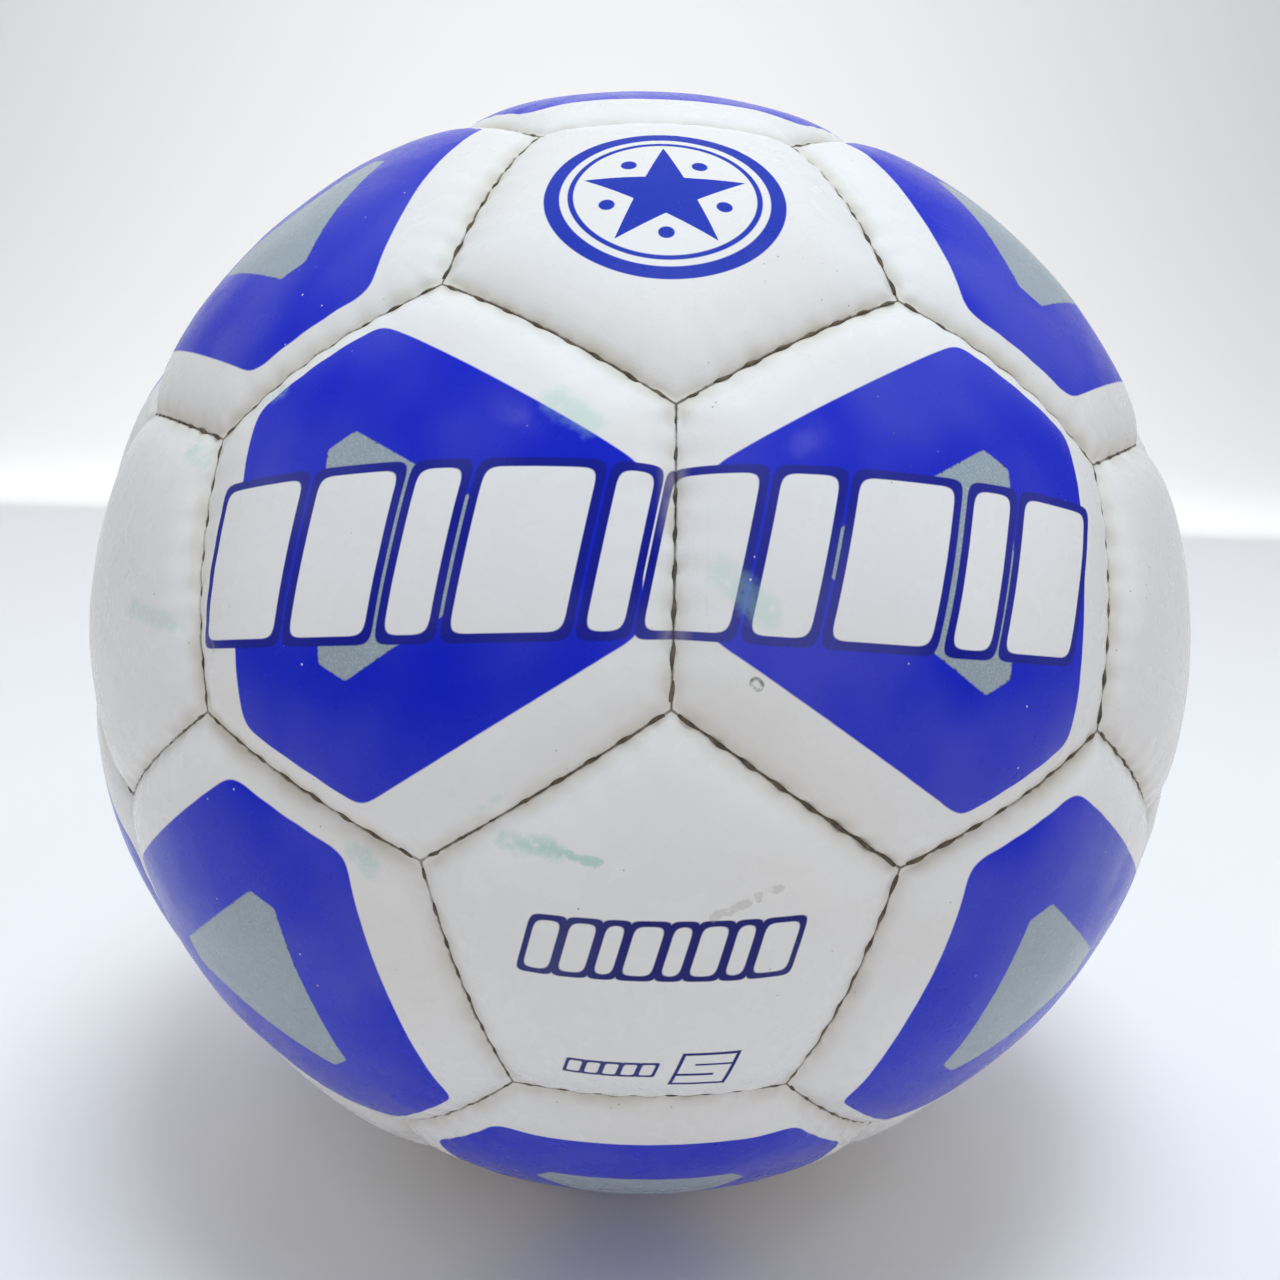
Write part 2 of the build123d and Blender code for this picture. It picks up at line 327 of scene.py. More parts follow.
    def ray(q, radius):
        w = v[None] + q[:, :1] * ex[None] + q[:, 1:] * ey[None]
        return w / np.linalg.norm(w, axis=1)[:, None] * radius

    for inset, radius_in in ((0.00150, 0.1059), (0.00165, 0.1067), (0.0030, 0.1071), (0.0060, 0.1077), (apothem * 0.55, 0.1083)):
        back.append(ray(flat[:n_ring] * (1 - inset / apothem), radius_in))
    if hole:
        rim_in = flat[(n_rings - 1) * n_ring:n_rings * n_ring]
        unit_in = rim_in / np.linalg.norm(rim_in, axis=1)[:, None]
        for r, radius_in in ((0.0045, 0.1083), (0.0044, 0.1087), (0.0044, 0.1093)):
            back.append(ray(unit_in * r / R, radius_in))
    verts = np.concatenate([verts] + extra + back + [v[None] * 0.1083])

    faces = []
    n = n_ring
    for k in range(n_rings - 1):
        a, b = k * n, (k + 1) * n
        for j in range(n):
            j2 = (j + 1) % n
            faces.append((a + j, a + j2, b + j2, b + j))
    a = a_last = (n_rings - 1) * n
    if not hole:
        for j in range(n):
            faces.append((a + j, a + (j + 1) % n, centre))
    chain = [0] + [n_top + k * n for k in range(len(extra) + len(back))]
    for a, b in zip(chain, chain[1:]):
        for j in range(n):
            j2 = (j + 1) % n
            faces.append((b + j, b + j2, a + j2, a + j))
    last, tip = chain[-1], len(verts) - 1
    for j in range(n):
        if hole:
            faces.append((last + j, last + (j + 1) % n, a_last + (j + 1) % n, a_last + j))
        else:
            faces.append((last + (j + 1) % n, last + j, tip))
    if hole:
        # the centre points are unused
        keep_v = np.ones(len(verts), bool)
        keep_v[[centre, tip]] = False
        new = np.cumsum(keep_v) - 1
        faces = [tuple(int(new[i]) for i in f) for f in faces]
        verts = verts[keep_v]

    mesh = bpy.data.meshes.new(name)
    mesh.from_pydata([tuple(x) for x in verts], [], faces)
    mesh.polygons.foreach_set("use_smooth", [True] * len(mesh.polygons))

    # surface coordinates for the materials, in millimetres
    dv = verts / np.linalg.norm(verts, axis=1)[:, None]
    depthv = dv @ v
    def project(axis_x):
        gx = unit(axis_x - (axis_x @ v) * v)
        gy = np.cross(v, gx)
        return np.stack([dv @ gx / depthv * 110, dv @ gy / depthv * 110, np.zeros(len(dv))], 1)
    toward = near[0][1]
    for normal, mid, kind in near:
        if mine == 6 and kind == 5:
            toward = mid
            break
    layout = project(toward)
    right = np.cross(np.array((0.0, 0.0, 1.0)), v)
    if np.linalg.norm(right) < 1e-6 or v[1] < -0.5 and abs(v[0]) < 0.4:
        right = np.array((1.0, 0.0, 0.0))
    upright = project(right)
    sd = np.full(len(verts), 99.0)
    cd = np.full(len(verts), 99.0)
    for normal, mid, kind in near:
        sd = np.minimum(sd, 110 * np.arcsin(np.clip(dv @ normal, -1, 1)))
    deep = np.clip((0.1093 - np.linalg.norm(verts, axis=1)) * 1000, 0, 5)
    a = mesh.attributes.new("layout", "FLOAT_VECTOR", "POINT")
    a.data.foreach_set("vector", layout.astype(np.float32).ravel())
    a = mesh.attributes.new("upright", "FLOAT_VECTOR", "POINT")
    a.data.foreach_set("vector", upright.astype(np.float32).ravel())
    a = mesh.attributes.new("seam", "FLOAT_VECTOR", "POINT")
    seam = np.stack([sd, deep, np.full(len(verts), float(rng.uniform(0, 40)))], 1)
    a.data.foreach_set("vector", seam.astype(np.float32).ravel())
    mesh.validate()
    ob = bpy.data.objects.new(name, mesh)
    scene.collection.objects.link(ob)
    return ob


# ---------------------------------------------------------------------------
# node helpers
# ---------------------------------------------------------------------------
class Graph:
    """A material's nodes, written as sums."""

    def __init__(self, name):
        self.mat = bpy.data.materials.new(name)
        self.mat.use_nodes = True
        self.tree = self.mat.node_tree
        self.bsdf = self.tree.nodes["Principled BSDF"]

    def put(self, socket, value):
        if isinstance(value, (int, float, tuple)):
            socket.default_value = value
        else:
            self.tree.links.new(value, socket)

    def m(self, op, *args):
        node = self.tree.nodes.new("ShaderNodeMath")
        node.operation = op
        for socket, value in zip(node.inputs, args):
            self.put(socket, value)
        return node.outputs[0]

    def add(self, a, b): return self.m("ADD", a, b)
    def sub(self, a, b): return self.m("SUBTRACT", a, b)
    def mul(self, a, b): return self.m("MULTIPLY", a, b)
    def abs(self, a): return self.m("ABSOLUTE", a)
    def min(self, *a):
        out = a[0]
        for b in a[1:]:
            out = self.m("MINIMUM", out, b)
        return out

    def max(self, *a):
        out = a[0]
        for b in a[1:]:
            out = self.m("MAXIMUM", out, b)
        return out

    def step(self, x, low, high):
        node = self.tree.nodes.new("ShaderNodeMapRange")
        node.interpolation_type = "SMOOTHSTEP"
        self.put(node.inputs["Value"], x)
        node.inputs["From Min"].default_value = low
        node.inputs["From Max"].default_value = high
        return node.outputs[0]

    def inside(self, sd, soft=0.10):
        """1 where the signed distance is negative."""
        node = self.tree.nodes.new("ShaderNodeMapRange")
        self.put(node.inputs["Value"], sd)
        node.inputs["From Min"].default_value = soft
        node.inputs["From Max"].default_value = -soft
        return node.outputs[0]

    def attr(self, name):
        node = self.tree.nodes.new("ShaderNodeAttribute")
        node.attribute_type = "GEOMETRY"
        node.attribute_name = name
        split = self.tree.nodes.new("ShaderNodeSeparateXYZ")
        self.tree.links.new(node.outputs["Vector"], split.inputs[0])
        return split.outputs[0], split.outputs[1], split.outputs[2]

    def place(self):
        """The point on the ball, in millimetres from its centre."""
        if not hasattr(self, "_place"):
            coord = self.tree.nodes.new("ShaderNodeTexCoord")
            scale = self.tree.nodes.new("ShaderNodeVectorMath")
            scale.operation = "SCALE"
            scale.inputs["Scale"].default_value = 1000.0
            self.tree.links.new(coord.outputs["Object"], scale.inputs[0])
            self._place = scale.outputs[0]
        return self._place

    def noise(self, size, detail=3.0, rough=0.55, vector=None, distort=0.0):
        node = self.tree.nodes.new("ShaderNodeTexNoise")
        node.inputs["Scale"].default_value = 1.0 / size
        node.inputs["Detail"].default_value = detail
        node.inputs["Roughness"].default_value = rough
        node.inputs["Distortion"].default_value = distort
        self.tree.links.new(vector or self.place(), node.inputs["Vector"])
        return node.outputs["Fac"]

    def voronoi(self, size, feature="F1", vector=None):
        node = self.tree.nodes.new("ShaderNodeTexVoronoi")
        node.feature = feature
        node.inputs["Scale"].default_value = 1.0 / size
        self.tree.links.new(vector or self.place(), node.inputs["Vector"])
        return node.outputs["Distance"]

    def mix(self, fac, a, b):
        node = self.tree.nodes.new("ShaderNodeMix")
        node.data_type = "RGBA"
        self.put(node.inputs[0], fac)
        for socket, value in ((node.inputs[6], a), (node.inputs[7], b)):
            self.put(socket, (*value, 1.0) if isinstance(value, tuple) else value)
        return node.outputs[2]

    def blend(self, fac, a, b):
        node = self.tree.nodes.new("ShaderNodeMix")
        self.put(node.inputs[0], fac)
        self.put(node.inputs[2], a)
        self.put(node.inputs[3], b)
        return node.outputs[0]

    def bump(self, height, distance, strength=1.0, normal=None):
        node = self.tree.nodes.new("ShaderNodeBump")
        node.inputs["Distance"].default_value = distance
        node.inputs["Strength"].default_value = strength
        self.put(node.inputs["Height"], height)
        if normal is not None:
            self.tree.links.new(normal, node.inputs["Normal"])
        return node.outputs[0]

    def capsule(self, p, q):
        """Distance in millimetres from the line between two points on the ball."""
        p, q = np.array(p), np.array(q)
        length = float(np.linalg.norm(q - p))
        u = (q - p) / max(length, 1e-6)
        rel = self.tree.nodes.new("ShaderNodeVectorMath")
        rel.operation = "SUBTRACT"
        self.tree.links.new(self.place(), rel.inputs[0])
        rel.inputs[1].default_value = tuple(float(x) for x in p)
        dot = self.tree.nodes.new("ShaderNodeVectorMath")
        dot.operation = "DOT_PRODUCT"
        self.tree.links.new(rel.outputs[0], dot.inputs[0])
        dot.inputs[1].default_value = tuple(float(x) for x in u)
        t = self.m("MINIMUM", self.m("MAXIMUM", dot.outputs["Value"], 0.0), length)
        along = self.tree.nodes.new("ShaderNodeVectorMath")
        along.operation = "SCALE"
        along.inputs[0].default_value = tuple(float(x) for x in u)
        self.tree.links.new(t, along.inputs["Scale"])
        off = self.tree.nodes.new("ShaderNodeVectorMath")
        off.operation = "DISTANCE"
        self.tree.links.new(rel.outputs[0], off.inputs[0])
        self.tree.links.new(along.outputs[0], off.inputs[1])
        return off.outputs["Value"]


WHITE = (0.820, 0.790, 0.755)
BLUE = (0.0020, 0.0130, 0.520)
GREY = (0.300, 0.355, 0.385)
NAVY = (0.006, 0.006, 0.150)
GREEN_STAIN = (0.36, 0.60, 0.50)
SEAM_SHADE_AND_DIRT = (0.085, 0.060, 0.030)
GRIME = (0.56, 0.49, 0.36)

GREEN = [
    ((-23.8, -107.4, -1.4), (-15.5, -109.0, -2.6), 1.2, 0.62), ((-17.0, -108.7, -2.3), (-9.3, -109.6, -3.8), 0.45, 0.70), ((-27.6, -106.5, 0.5), (-23.7, -107.4, 3.5), 1.1, 0.45),
    ((-45.3, -100.0, -6.9), (-42.6, -101.0, -9.0), 1.5, 0.6), ((-35.3, -67.3, 79.5), (-33.8, -72.0, 75.9), 1.4, 0.6),
    ((-32.8, -71.5, 76.8), (-32.0, -72.3, 76.4), 0.9, 0.9), ((-76.1, -64.1, 47.0), (-72.8, -68.9, 45.3), 1.7, 0.7),
    ((-64.9, -69.5, 55.2), (-59.4, -73.0, 57.0), 1.4, 0.40), ((-16.8, -92.0, 57.9), (-12.1, -94.3, 55.3), 1.6, 0.35),
    ((6.2, -103.6, 36.3), (12.6, -104.8, 30.9), 1.7, 0.30), ((-85.2, -66.5, 20.5), (-73.3, -79.5, 20.3), 1.0, 0.30),
]
BROWN = [
    ((7.0, -109.1, -11.8), (11.6, -109.0, -9.7), 0.25, 0.30), ((13.2, -108.8, -8.8), (17.4, -108.4, -7.1), 0.25, 0.30),
    ((-74.1, -76.7, 27.1), (-73.8, -77.4, 25.8), 0.8, 0.85), ((-69.2, -83.0, 20.7), (-68.6, -84.0, 18.5), 0.5, 0.7),
    ((-14.2, -109.0, 4.4), (-9.5, -109.5, 5.5), 0.5, 0.5),
]


def threefold(g, x, y, turn_by=0.0):
    """The largest reach of a point towards three directions, 120 degrees apart."""
    out = None
    for k in range(3):
        a = math.radians(120 * k + turn_by)
        d = g.add(g.mul(x, math.cos(a)), g.mul(y, math.sin(a)))
        out = d if out is None else g.m("MAXIMUM", out, d)
    return out


def soft_max(g, a, b, k):
    return g.m("SMOOTH_MAX", a, b, k)


def box(g, x, y, cx, cy, hx, hy, r=0.0):
    """Signed distance, roughly, of an upright rectangle."""
    dx = g.sub(g.abs(g.sub(x, cx)), hx - r)
    dy = g.sub(g.abs(g.sub(y, cy)), hy - r)
    return g.sub(g.m("SMOOTH_MAX", dx, dy, r * 2.0) if r else g.m("MAXIMUM", dx, dy), r)


def slanted_blocks(g, x, y, blocks, top, bottom, slant, line):
    """A row of slanted blocks: (outline mask, fill mask)."""
    mid = (top + bottom) / 2
    half = (top - bottom) / 2
    sx = g.sub(x, g.mul(g.sub(y, mid), slant))
    d = None
    for cx, hx in blocks:
        b = box(g, sx, y, cx, mid, hx, half, min(1.6, half * 0.25))
        d = b if d is None else g.m("MINIMUM", d, b)
    return g.inside(g.sub(d, line)), g.inside(d)


def finish_skin(g, colour, gloss_mask=None):
    """Soiling, wear, painted seam shade, moulding and gloss that every panel shares."""
    sd, deep, seed = g.attr("seam")
    n_big = g.noise(34.0, 2.0)
    n_mid = g.noise(7.0, 4.0)
    n_fine = g.noise(1.3, 3.0)
    # broad change of tone, then grime that gathers towards the seams
    colour = g.mix(g.mul(g.step(n_big, 0.42, 0.72), 0.16), colour, g.mix(0.5, colour, (0.62, 0.60, 0.56)))
    near = g.step(sd, 3.2, 0.2)
    colour = g.mix(g.mul(g.mul(near, g.step(n_mid, 0.25, 0.65)), 0.50), colour, GRIME)
    # painted shade with some dirt: a near-black brown line along the very edge of each seam, standing in for the shade
    # in the gap between the panels
    line = g.mul(g.step(g.add(sd, g.mul(g.sub(n_fine, 0.5), 0.4)), 0.34, 0.06), 0.85)
    colour = g.mix(g.mul(line, g.step(n_mid, 0.18, 0.55)), colour, SEAM_SHADE_AND_DIRT)
    # green and brown marks, broken up where they were rubbed
    rub = g.noise(1.5, 4.0, 0.65)
    wob = g.mul(g.sub(g.noise(1.6, 4.0), 0.5), 2.6)
    for marks, tint in ((GREEN, GREEN_STAIN), (BROWN, (0.34, 0.28, 0.20))):
        total = None
        for p, q, r, power in marks:
            d = g.sub(g.add(g.capsule(p, q), wob), 0.45)
            mask = g.mul(g.step(d, r * 1.7, r * 0.3), power)
            total = mask if total is None else g.m("MAXIMUM", total, mask)
        colour = g.mix(g.mul(total, g.step(rub, 0.22, 0.50)), colour, tint)
    # small ring scuff
    ring = g.abs(g.sub(g.capsule((11.3, -107.2, 21.7), (11.6, -107.25, 21.4)), 1.05))
    colour = g.mix(g.mul(g.step(ring, 0.24, 0.06), g.mul(g.step(n_fine, 0.35, 0.6), 0.8)), colour, (0.12, 0.11, 0.10))
    # pinprick specks, dark ones over all the surface
    speck = g.voronoi(2.6)
    dark = g.mul(g.step(speck, 0.085, 0.045), g.step(g.noise(17.0, 1.0), 0.56, 0.66))
    colour = g.mix(g.mul(dark, 0.55), colour, (0.16, 0.13, 0.09))
    g.put(g.bsdf.inputs["Base Color"], colour)
    rough = g.add(0.245, g.mul(g.step(n_mid, 0.35, 0.8), 0.10))
    rough = g.add(rough, g.mul(near, 0.10))
    g.put(g.bsdf.inputs["Roughness"], rough)
    g.bsdf.inputs["IOR"].default_value = 1.47
    g.bsdf.inputs["Specular IOR Level"].default_value = 0.20
    g.bsdf.inputs["Coat Weight"].default_value = 0.08
    g.bsdf.inputs["Coat Roughness"].default_value = 0.12
    # moulding: orange peel, faint hammering, creases that run into the seams
    peel = g.noise(0.55, 2.0)
    soft = g.noise(4.2, 2.0)
    wrinkle = g.noise(2.4, 2.0, 0.5, distort=1.6)
    wrinkle = g.mul(g.step(g.abs(g.sub(wrinkle, 0.5)), 0.035, 0.0), g.step(sd, 6.5, 1.0))
    fine_crack = g.noise(9.0, 3.0, 0.6, distort=0.8)
    crack = g.mul(g.step(g.abs(g.sub(fine_crack, 0.5)), 0.008, 0.0), g.step(g.noise(40.0, 1.0), 0.50, 0.62))
    n = g.bump(soft, 0.00012, 0.25)
    n = g.bump(g.sub(g.mul(peel, 0.3), g.mul(wrinkle, 0.6)), 0.00006, 0.40, n)
    n = g.bump(g.mul(crack, -1.0), 0.00005, 0.25, n)
    if gloss_mask is not None:
        n = g.bump(gloss_mask, 0.00003, 0.5, n)
    g.tree.links.new(n, g.bsdf.inputs["Normal"])
    return g.mat


def print_layout(g, colour):
    """The blue figure with its grey heart, on a hexagonal panel."""
    x, y, _ = g.attr("layout")
    wob = g.mul(g.sub(g.noise(3.0, 2.0), 0.5), 0.12)
    x, y = g.add(x, wob), g.add(y, wob)
    p = threefold(g, x, y)
    h = threefold(g, x, y, 180.0)
    blue = soft_max(g, g.sub(p, 29.2), g.sub(h, 37.0), 4.0)
    heart = soft_max(g, g.sub(p, 12.1), g.sub(h, 19.7), 0.8)
    ink = g.inside(blue, 0.14)
    # the ink thins at its worn places
    fade = g.mul(g.step(g.noise(26.0, 2.0), 0.45, 0.75), 0.16)
    blue_tone = g.mix(fade, BLUE, (0.020, 0.040, 0.52))
    pin = g.mul(g.step(g.voronoi(3.4), 0.070, 0.035), g.step(g.noise(14.0, 1.0), 0.52, 0.60))
    blue_tone = g.mix(g.mul(pin, 0.8), blue_tone, WHITE)
    colour = g.mix(ink, colour, blue_tone)
    edge = g.step(g.abs(g.add(heart, g.mul(g.sub(g.noise(0.5, 2.0), 0.5), 0.5))), 0.22, 0.05)
    silver = g.mix(g.step(g.noise(0.35, 1.0), 0.45, 0.7), GREY, (0.40, 0.44, 0.46))
    colour = g.mix(g.inside(heart, 0.14), colour, silver)
    colour = g.mix(g.mul(edge, g.mul(g.step(g.voronoi(0.9), 0.42, 0.25), 0.8)), colour, (0.02, 0.02, 0.10))
    return colour, ink


def white_tone(g):
    return g.mix(g.step(g.noise(48.0, 1.0), 0.35, 0.7), WHITE, (0.800, 0.755, 0.705))


def hex_material(name, band=0):
    g = Graph(name)
    colour, ink = print_layout(g, white_tone(g))
    if band:
        # a run of slanted blocks across the two front panels and the seam between them
        x, y, _ = g.attr("upright")
        s = g.add(x, 42.0 * band)
        blocks = [(-68.6, 8.2), (-50.6, 6.6), (-37.4, 3.4), (-22.6, 8.2), (-8.4, 2.8), (4.0, 6.6), (18.2, 4.4), (33.6, 7.8), (48.4, 3.4), (62.2, 7.4)]
        outline, fill = slanted_blocks(g, s, y, blocks, 11.6, -11.9, 0.20, 1.35)
        colour = g.mix(outline, colour, (0.004, 0.009, 0.26))
        colour = g.mix(fill, colour, WHITE)
    return finish_skin(g, colour, ink)


def pent_material(name, motif=None):
    g = Graph(name)
    colour = white_tone(g)
    mask = None
    x, y, _ = g.attr("upright")
    if motif == "badge":
        # a plain round badge: a ring, a thinner ring inside it, and a star
        x = g.add(x, 1.4)
        rad = g.m("SQRT", g.add(g.mul(x, x), g.mul(y, y)))
        ring = g.sub(g.abs(g.sub(rad, 17.6)), 1.25)
        thin = g.sub(g.abs(g.sub(rad, 14.6)), 0.45)
        star = None
        edges = []
        for k in range(5):
            a = math.radians(90 + 72 * k)
            edges.append(g.sub(g.add(g.mul(x, math.cos(a)), g.mul(y, math.sin(a))), 4.1))
        # a point is in a star when at most one of the five edges leaves it out
        count = None
        for e in edges:
            c = g.inside(e)
            count = c if count is None else g.add(count, c)
        star = g.mul(g.step(count, 3.2, 3.8), g.inside(g.sub(rad, 13.2)))
        dots = None
        for k in range(5):
            a = math.radians(-90 + 72 * k)
            dx, dy = g.sub(x, 9.4 * math.cos(a)), g.sub(y, 9.4 * math.sin(a))
            d = g.sub(g.m("SQRT", g.add(g.mul(dx, dx), g.mul(dy, dy))), 1.25)
            dots = d if dots is None else g.m("MINIMUM", dots, d)
        mask = g.m("MAXIMUM", g.inside(g.min(ring, thin, dots)), star)
        colour = g.mix(mask, colour, (0.012, 0.034, 0.40))
    elif motif == "label":
        # a row of small slanted blocks, and the size numeral below it
        blocks = [(-17.6, 1.9), (-12.4, 1.9), (-7.8, 1.3), (-3.0, 2.1), (1.8, 1.3), (6.4, 1.9), (11.0, 1.3), (16.4, 2.6)]
        outline, fill = slanted_blocks(g, g.sub(x, 0.2), y, blocks, 7.4, -1.0, 0.22, 0.95)
        colour = g.mix(outline, colour, NAVY)
        colour = g.mix(fill, colour, WHITE)
        small = [(-12.4, 1.0), (-9.6, 1.0), (-6.8, 1.0), (-4.0, 1.0), (-1.2, 1.0)]
        outline2, fill2 = slanted_blocks(g, x, y, small, -19.2, -22.0, 0.22, 0.55)
        colour = g.mix(outline2, colour, NAVY)
        colour = g.mix(fill2, colour, WHITE)
        cy = -20.7
        sx = g.sub(x, g.mul(g.sub(y, cy), 0.22))
        t = 1.05
        w, h = 3.9, 3.7
        strokes = [
            box(g, sx, y, 7.6, cy + h - t, w, t), box(g, sx, y, 7.6 - w + t, cy + h / 2, t, h / 2),
            box(g, sx, y, 7.6, cy + 0.1, w, t), box(g, sx, y, 7.6 + w - t, cy - h / 2 + 0.1, t, h / 2), box(g, sx, y, 7.6, cy - h + t, w, t),
        ]
        five = g.min(*strokes)
        colour = g.mix(g.inside(g.sub(five, 0.60)), colour, NAVY)
        colour = g.mix(g.inside(five), colour, WHITE)
        mask = outline
    return finish_skin(g, colour, mask)


def plain_material(name, base, other, rough, size, bump_mm, weave=None):
    g = Graph(name)
    n = g.noise(size, 4.0)
    g.put(g.bsdf.inputs["Base Color"], g.mix(g.step(n, 0.35, 0.7), base, other))
    g.put(g.bsdf.inputs["Roughness"], g.add(rough, g.mul(n, 0.15)))
    height = g.noise(size * 0.25, 3.0)
    if weave:
        wave = g.tree.nodes.new("ShaderNodeTexWave")
        wave.inputs["Scale"].default_value = weave
        g.tree.links.new(g.place(), wave.inputs["Vector"])
        height = g.add(height, wave.outputs["Fac"])
    g.tree.links.new(g.bump(height, bump_mm / 1000, 0.6), g.bsdf.inputs["Normal"])
    return g.mat


# ---------------------------------------------------------------------------
# the panels
# ---------------------------------------------------------------------------
mats = {
    "hex": hex_material("printed_skin"),
    "left": hex_material("printed_skin_front_left", band=-1),
    "right": hex_material("printed_skin_front_right", band=1),
    "pent": pent_material("white_skin"),
    "badge": pent_material("white_skin_badge", "badge"),
    "label": pent_material("white_skin_label", "label"),
}
special = {"hex_panel_upper_6": "left", "hex_panel_upper_1": "right", "pent_panel_high_1": "badge", "pent_panel_lower_1": "label"}
for named, mine in ((hexes, 6), (pents, 5)):
    for name, v in named.items():
        first = neighbours(v, mine, mine)[0][1]
        ob = panel_mesh(name + "_skin", v, mine, first, 0.0044 if name == "valve_hex_panel" else 0.0)
        ob.data.materials.append(mats[special.get(name, "hex" if mine == 6 else "pent")])
        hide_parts(name)
        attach(ob, "root")

# ---------------------------------------------------------------------------
# stitching: one twisted length in each seam, dipping between the holes
# ---------------------------------------------------------------------------
def thread_piece(name, seams):
    verts, faces = [], []
    ring = 8
    for normal, mid in seams:
        along = unit(np.cross(normal, mid))
        if along @ np.array((0.31, 0.57, 0.76)) < 0:
            along = -along
        side = unit(np.cross(along, mid))
        depth, shift = seam_noise(mid, None)
        steps = STITCHES * 12
        base = len(verts)
        for i in range(steps + 1):
            t = (i / steps - 0.5) * (EDGE - 0.0032)
            a = t / 0.107
            c = (t + EDGE / 2) / PITCH - 0.5
            idx = int(min(max(math.floor(c + 0.5) + 1, 0), STITCHES + 2))
            phase = (c + shift[idx] + 0.5) % 1 - 0.5
            lift = math.exp(-(phase / 0.28) ** 2)
            centre = (math.cos(a) * mid + math.sin(a) * along)
            out = centre
            fwd = -math.sin(a) * mid + math.cos(a) * along
            centre = centre * (0.10612 + 0.00050 * lift) + side * 0.00010 * math.sin(c * 6.1)
            for k in range(ring):
                b = 2 * math.pi * k / ring + c * 3.2
                r = 0.00030 * (1 + 0.16 * math.cos(2 * (2 * math.pi * k / ring)))
                verts.append(centre + r * (math.cos(b) * side + math.sin(b) * out))
        for i in range(steps):
            for k in range(ring):
                k2 = (k + 1) % ring
                a0, b0 = base + i * ring, base + (i + 1) * ring
                faces.append((a0 + k, b0 + k, b0 + k2, a0 + k2))
        faces.append(tuple(base + k for k in range(ring)))
        faces.append(tuple(base + steps * ring + k for k in reversed(range(ring))))
    mesh = bpy.data.meshes.new(name)
    mesh.from_pydata([tuple(x) for x in verts], [], faces)
    mesh.polygons.foreach_set("use_smooth", [True] * len(mesh.polygons))
    ob = bpy.data.objects.new(name, mesh)
    scene.collection.objects.link(ob)
    return ob


# the thread is coloured near-black brown: painted shade, so that it blends into the dark of the seam
thread_mat = plain_material("thread_darkened_as_seam_shade", (0.060, 0.045, 0.028), (0.17, 0.13, 0.080), 0.6, 1.6, 0.12)
for name, pick in (("hex_seam_threads", 6), ("pent_seam_threads", 5)):
    seams, seen = [], []
    for v in (HEXES if pick == 6 else PENTS):
        for normal, mid, kind in neighbours(v, pick, pick):
            if pick == 6 and kind == 5 or any(mid @ q > 0.9999 for q in seen):
                continue
            seen.append(mid)
            seams.append((normal, mid))
    ob = thread_piece(name + "_stitching", seams)
    ob.data.materials.append(thread_mat)
    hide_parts(name)
    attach(ob, "root")

# ---------------------------------------------------------------------------
# foam linings, pillowed as the skins over them are
# ---------------------------------------------------------------------------
def lining_piece(name, mine):
    verts, faces = [], []
    M = 12
    for v in (HEXES if mine == 6 else PENTS):
        near = neighbours(v, mine, mine)
        ex = unit(near[0][1] - (near[0][1] @ v) * v)
        ey = np.cross(v, ex)
        half = math.atan((0.8660254 if mine == 6 else 0.68819096) / (A_HEX if mine == 6 else A_PENT))
        reach, apothem = math.tan(half), R * half
        ring = []
        for i in range(mine):
            a = 2 * math.pi * i / mine
            t = (np.arange(M) / M * 2 - 1) * math.tan(math.pi / mine)
            ring += [(reach * (math.cos(a) - u * math.sin(a)), reach * (math.sin(a) + u * math.cos(a))) for u in t]
        ring = np.array(ring)
        valve = v @ VALVE > 0.999
        round_ring = ring / np.hypot(ring[:, 0], ring[:, 1])[:, None]
        outer = [(ring * (1 - d / apothem), r) for d, r in ((0.0034, 0.10692), (0.0045, 0.10725), (0.0062, 0.1076), (0.0090, 0.1079), (0.0150, 0.1081))]
        inner = [(ring * (1 - d / apothem), 0.1068) for d in (0.0150, 0.0034)]
        if valve:
            outer.append((round_ring * 0.0050 / R, 0.1082))
            inner.insert(0, (round_ring * 0.0050 / R, 0.1068))
        else:
            outer.append((ring * 0.25, 0.1082))
            inner.insert(0, (ring * 0.25, 0.1068))
        base, n = len(verts), len(ring)
        for q, radius in outer + inner:
            w = v[None] + q[:, :1] * ex[None] + q[:, 1:] * ey[None]
            verts += list(w / np.linalg.norm(w, axis=1)[:, None] * radius)
        loops = [base + k * n for k in range(len(outer) + len(inner))]
        pairs = list(zip(loops, loops[1:] + loops[:1]))
        split_at = len(outer) - 1
        for k, (a, b) in enumerate(pairs):
            if k == split_at and not valve:
                continue
            for j in range(n):
                j2 = (j + 1) % n
                faces.append((a + j, a + j2, b + j2, b + j))
        if not valve:
            faces.append(tuple(loops[split_at] + j for j in range(n)))
            faces.append(tuple(loops[split_at + 1] + j for j in reversed(range(n))))
    mesh = bpy.data.meshes.new(name)
    mesh.from_pydata([tuple(x) for x in verts], [], faces)
    ob = bpy.data.objects.new(name, mesh)
    scene.collection.objects.link(ob)
    return ob


foam_mat = plain_material("closed_cell_foam_lining", (0.80, 0.77, 0.68), (0.87, 0.85, 0.78), 0.75, 1.2, 0.25)
for name, mine in (("hex_foam_backings", 6), ("pent_foam_backings", 5)):
    ob = lining_piece(name + "_lining", mine)
    ob.data.materials.append(foam_mat)
    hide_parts(name)
    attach(ob, "root")

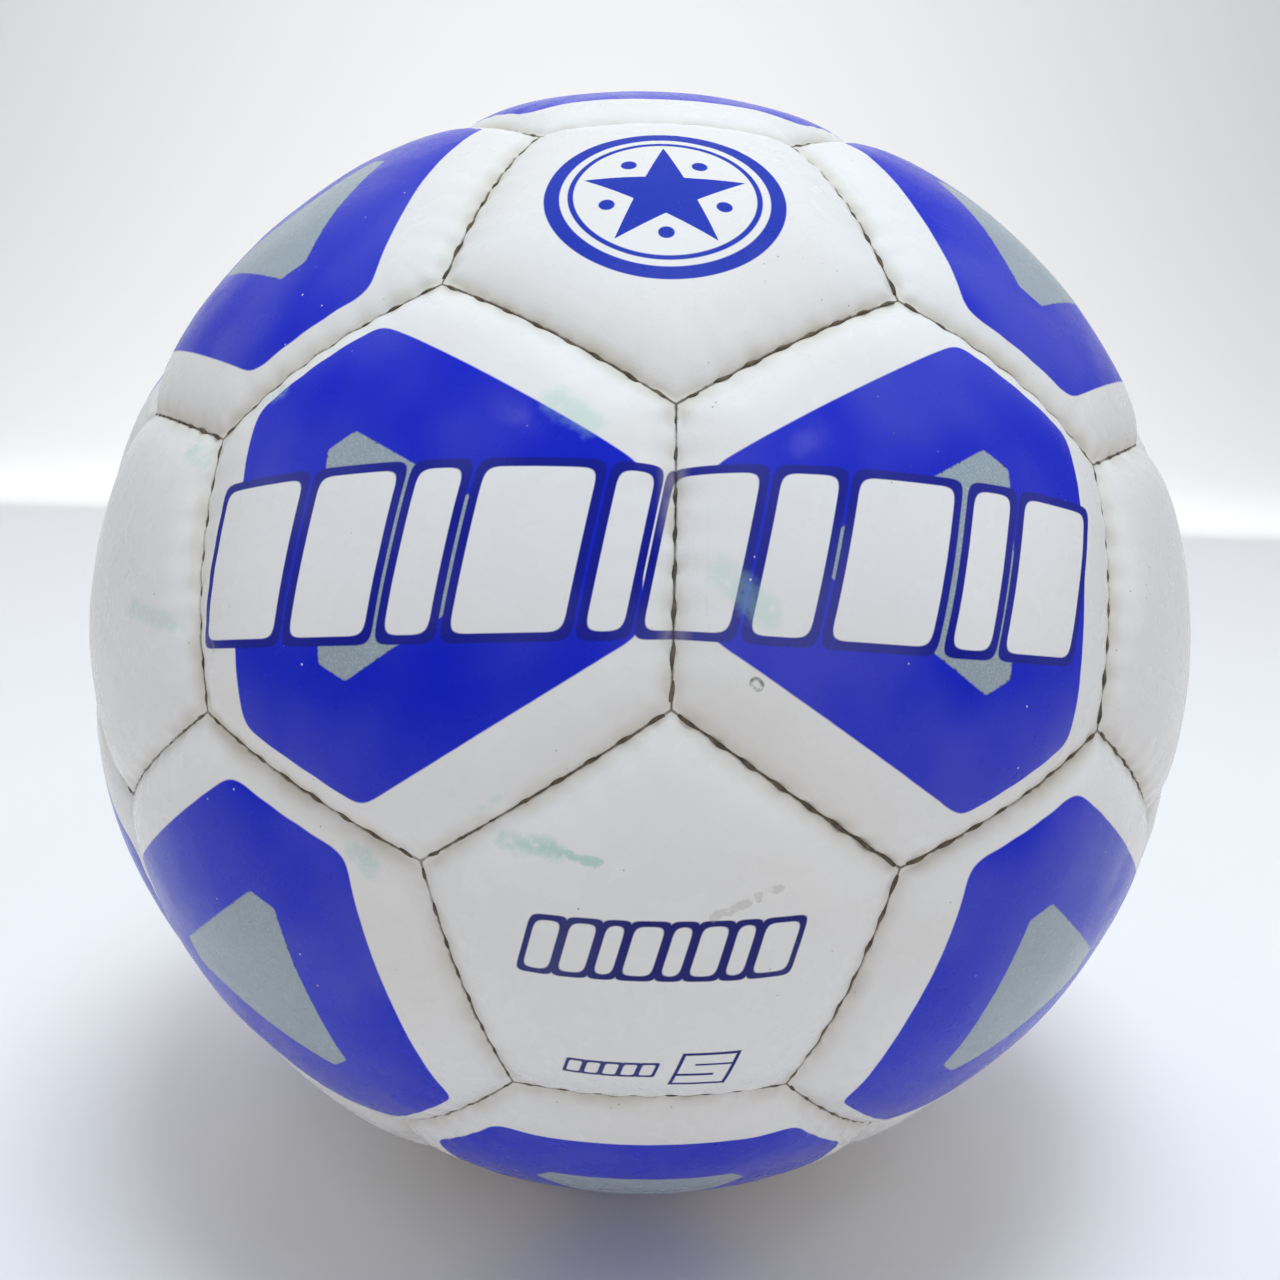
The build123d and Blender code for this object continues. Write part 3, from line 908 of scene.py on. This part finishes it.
# ---------------------------------------------------------------------------
# the pieces under the skin keep their CAD shapes
# ---------------------------------------------------------------------------
inside = {
    "foam": plain_material("closed_cell_foam", (0.80, 0.77, 0.68), (0.87, 0.85, 0.78), 0.75, 1.2, 0.25),
    "fabric": plain_material("woven_backing", (0.70, 0.67, 0.58), (0.80, 0.78, 0.70), 0.8, 5.0, 0.2, weave=0.9),
    "bladder": plain_material("butyl_rubber", (0.020, 0.020, 0.021), (0.036, 0.035, 0.034), 0.42, 9.0, 0.05),
    "valve": plain_material("valve_rubber", (0.022, 0.022, 0.023), (0.045, 0.043, 0.040), 0.40, 2.5, 0.04),
    "core": plain_material("valve_core_rubber", (0.055, 0.055, 0.055), (0.10, 0.095, 0.09), 0.35, 1.2, 0.03),
}
for node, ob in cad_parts.items():
    key = "foam" if "foam" in node else "fabric" if "fabric" in node else "core" if node == "valve_core" else "valve" if node.startswith("valve_") and "panel" not in node else "bladder" if node == "bladder" else None
    if key:
        if not ob.material_slots:
            ob.data.materials.append(inside[key])
        for slot in ob.material_slots:
            slot.material = inside[key]

# ---------------------------------------------------------------------------
# the floor: a pale sweep that turns up far behind the ball
# ---------------------------------------------------------------------------
fv, ff = [], []
profile = [(-4.0, 0.0), (-1.0, 0.0), (1.2, 0.0)] + [(1.2 + 1.2 * math.sin(a), 1.2 - 1.2 * math.cos(a)) for a in np.linspace(0.08, math.pi / 2, 20)] + [(2.4, 4.0)]
for y, z in profile:
    fv += [(-5.0, y, FLOOR + z), (5.0, y, FLOOR + z)]
for i in range(len(profile) - 1):
    ff.append((2 * i, 2 * i + 1, 2 * i + 3, 2 * i + 2))
floor_mesh = bpy.data.meshes.new("floor")
floor_mesh.from_pydata(fv, [], ff)
floor_mesh.polygons.foreach_set("use_smooth", [True] * len(ff))
floor = bpy.data.objects.new("floor", floor_mesh)
scene.collection.objects.link(floor)
fm = bpy.data.materials.new("floor")
fm.use_nodes = True
fm.node_tree.nodes["Principled BSDF"].inputs["Base Color"].default_value = (0.88, 0.86, 0.84, 1)
fm.node_tree.nodes["Principled BSDF"].inputs["Roughness"].default_value = 0.7
floor_mesh.materials.append(fm)
